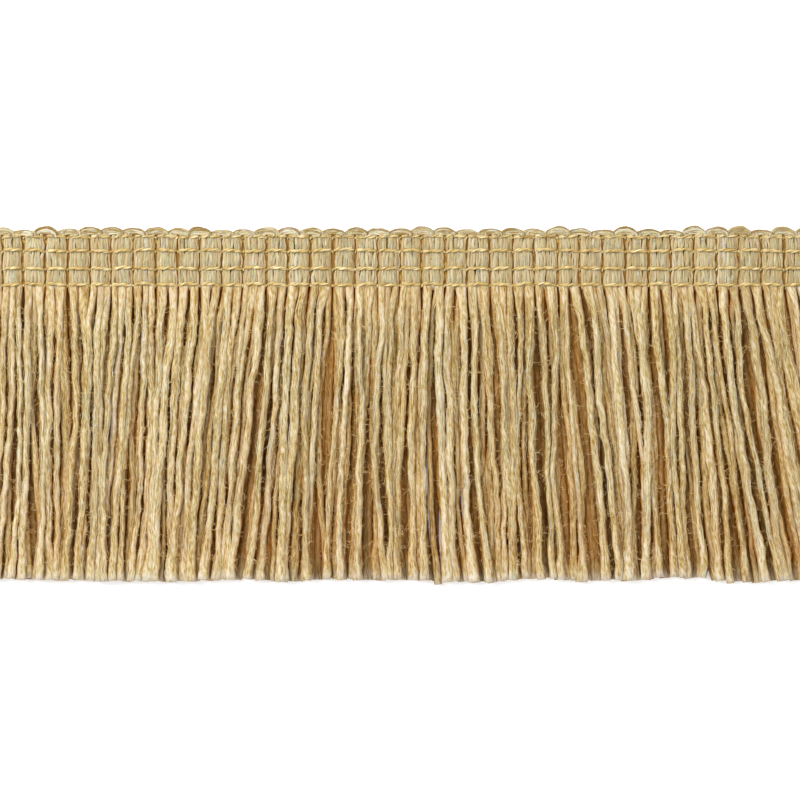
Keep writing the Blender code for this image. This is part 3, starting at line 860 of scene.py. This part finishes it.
def makeFibres(name, shape, strands, material):
    path, halfWidth, halfHeight = strands
    count = path.shape[0] * shape["perStrand"]
    strand = np.repeat(np.arange(path.shape[0]), shape["perStrand"])[:, None]
    t = np.linspace(0, 1, shape["rings"])
    reach = random.uniform(*shape["length"], (count, 1))
    place = random.uniform(shape["below"], 1, (count, 1)) * (1 - reach) + reach * t
    ring = place * (path.shape[1] - 1)
    low = np.minimum(ring.astype(int), path.shape[1] - 2)
    part = ring - low
    across, outward = framesOf(path)

    def along(values):  # value at each fibre's own places, between the two nearest rings
        blend = part.reshape(part.shape + (1,) * (values.ndim - 2))
        return values[strand, low] * (1 - blend) + values[strand, low + 1] * blend

    turn = random.uniform(-shape["pastSide"], np.pi + shape["pastSide"], (count, 1))
    turns = random.uniform(*shape["turns"], (count, 1))
    turn = turn - 2 * np.pi * turns * (place - place.mean(axis=1, keepdims=True))
    off = waves(count, t, *shape["loose"])
    wide = (along(halfWidth) * shape["skin"] + off) * np.cos(turn)
    high = (along(halfHeight) * shape["skin"] + off) * np.sin(turn)
    route = along(path) + wide[..., None] * along(across) + high[..., None] * along(outward)
    taper = shape["tip"] + (1 - shape["tip"]) * np.sin(np.pi * np.clip(t, 0.02, 0.98)) ** 0.5
    radius = random.uniform(*shape["radius"], (count, 1)) * taper
    route[..., 2] = np.maximum(route[..., 2], radius)
    chance = random.uniform(0, 1, (count, 1)) * np.ones_like(t)
    tone = np.where(chance < shape["lilacShare"], -shape["dyed"], 0.0)
    tone = np.where(chance > 1 - shape["taupeShare"], shape["dyed"], tone)
    number = random.uniform(*shape["number"], count)
    return makeTubes(name, route, radius, radius, turn, shape, material,
                     tone, number, upright=np.sin(turn)[..., None])


underPiece, *underRest = makeStrands("skirt_under", underShape, underPaintedShadeYarn)
middlePiece, *middleRest = makeStrands("skirt_middle", middleShape, middlePaintedShadeYarn)
frontPiece, *frontRest = makeStrands("skirt_front", frontShape, skirtYarn)
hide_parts("skirt")
frontFibres = makeFibres("skirt_front_fibres", fibreShape, frontRest, skirtYarn)
fewerFibres = {**fibreShape, "perStrand": 10}
middleFibres = makeFibres("skirt_middle_fibres", fewerFibres, middleRest, middlePaintedShadeYarn)
print("skirt made")

# Stray fibres: fine curled hairs that stand off the strands.
hairShape = {
    "count": 4800, "length": (0.0006, 0.0020), "radius": 0.000050, "thinned": 0.6,
    "rings": 5, "sides": 3, "lobes": 3, "lobeDepth": 0.0, "rough": 0.0, "deepShare": 0.4,
    "angle": (0.25, 0.45), "sunk": 0.9, "stand": 0.5, "spread": (0.35, 1.0, 0.25),
    "curl": 0.00030, "curlTurns": (1.0, 3.0), "lowest": 0.0001,
}


# A hair starts on a strand's side, runs mostly along the strand, and curls on a circle: a sine
# one way and 1 less the cosine across it.
def makeHairs(name, shape, strands):
    path, halfWidth, halfHeight = strands
    strand = random.integers(0, path.shape[0], shape["count"])
    ring = random.integers(5, path.shape[1] - 3, shape["count"])
    angle = random.normal(*shape["angle"], shape["count"])
    angle = np.where(random.uniform(0, 1, shape["count"]) < 0.5, angle, np.pi - angle)
    wide, high = halfWidth[strand, ring], halfHeight[strand, ring]
    out = np.stack((np.cos(angle), np.zeros_like(angle), np.sin(angle)), axis=-1)
    start = path[strand, ring] + out * np.stack((wide, wide, high), axis=-1) * shape["sunk"]
    heading = unit(out * shape["stand"] + random.normal(0, 1, out.shape) * shape["spread"])
    length = random.uniform(*shape["length"], shape["count"])[:, None, None]
    t = np.linspace(0, 1, shape["rings"])[None, :, None]
    bend = unit(random.normal(0, 1, out.shape))
    beside = np.cross(bend, heading)[:, None]
    turn = np.pi * t * random.uniform(*shape["curlTurns"], (shape["count"], 1, 1))
    curl = shape["curl"] * (np.sin(turn) * bend[:, None] + (1 - np.cos(turn)) * beside)
    route = start[:, None] + heading[:, None] * length * t + curl
    route[..., 2] = np.maximum(route[..., 2], shape["lowest"])
    radius = shape["radius"] * (1 - shape["thinned"] * t[..., 0]) * np.ones(route.shape[:2])
    twist = np.zeros(route.shape[:2])
    return makeTubes(name, route, radius, radius, twist, shape, hairPaintedLightYarn)


hairs = makeHairs("skirt_hairs", hairShape, frontRest)
deepHairs = makeHairs("skirt_deep_hairs", {**hairShape, "count": 3800}, middleRest)
print("stray fibres made")

# Stage: a white table, soft light from all round and a broad lamp at the upper left.
photo = {"pixels": 800, "pixelSize": 0.0002159, "middle": (0.00134, -0.0307), "focus": 0.003}
cameraLook = {"lens": 100.0, "sensor": 36.0}
lamps = {
    "key": {"place": (-0.48, 0.32, 0.75), "size": 0.45, "watts": 10.8},
    "fill": {"place": (0.6, -0.3, 0.7), "size": 0.9, "watts": 3.0},
}
stageLook = {"world": 0.76, "floorSize": 4.0, "floorDrop": 0.00005, "floorGlow": 0.22,
             "floorColour": (0.86, 0.86, 0.86, 1), "floorRoughness": 0.9}


def makeStage():
    half = stageLook["floorSize"] / 2
    corners = [(-half, -half), (half, -half), (half, half), (-half, half)]
    mesh = bpy.data.meshes.new("table")
    mesh.from_pydata([(x, y, -stageLook["floorDrop"]) for x, y in corners], [], [(0, 1, 2, 3)])
    material = bpy.data.materials.new("white table")
    material.use_nodes = True
    shader = material.node_tree.nodes["Principled BSDF"]
    shader.inputs["Base Color"].default_value = stageLook["floorColour"]
    shader.inputs["Roughness"].default_value = stageLook["floorRoughness"]
    shader.inputs["Emission Color"].default_value = (1, 1, 1, 1)
    shader.inputs["Emission Strength"].default_value = stageLook["floorGlow"]
    mesh.materials.append(material)
    table = bpy.data.objects.new("table", mesh)
    bpy.context.scene.collection.objects.link(table)
    world = bpy.data.worlds.new("studio")
    world.use_nodes = True
    world.node_tree.nodes["Background"].inputs["Color"].default_value = (1, 1, 1, 1)
    world.node_tree.nodes["Background"].inputs["Strength"].default_value = stageLook["world"]
    bpy.context.scene.world = world


def makeLamp(name, look):
    data = bpy.data.lights.new(name, "AREA")
    data.size = look["size"]
    data.energy = look["watts"]
    lamp = bpy.data.objects.new(name, data)
    lamp.location = look["place"]
    aim = np.array((*photo["middle"], 0)) - np.array(look["place"])
    lamp.rotation_euler = Vector(aim).to_track_quat("-Z", "Y").to_euler()
    bpy.context.scene.collection.objects.link(lamp)


def makeCamera():
    data = bpy.data.cameras.new("camera")
    data.lens = cameraLook["lens"]
    data.sensor_width = cameraLook["sensor"]
    camera = bpy.data.objects.new("camera", data)
    across = photo["pixels"] * photo["pixelSize"]
    height = photo["focus"] + across * cameraLook["lens"] / cameraLook["sensor"]
    camera.location = (*photo["middle"], height)
    bpy.context.scene.collection.objects.link(camera)
    bpy.context.scene.camera = camera


makeStage()
for lampName, lampLook in lamps.items():
    makeLamp(lampName, lampLook)
makeCamera()
bpy.context.scene.view_settings.view_transform = "Standard"

print("stage, lamps and camera made")
meshes = [thing.data for thing in bpy.data.objects if thing.type == "MESH"]
print("triangles", sum(len(face.vertices) - 2 for mesh in meshes for face in mesh.polygons))
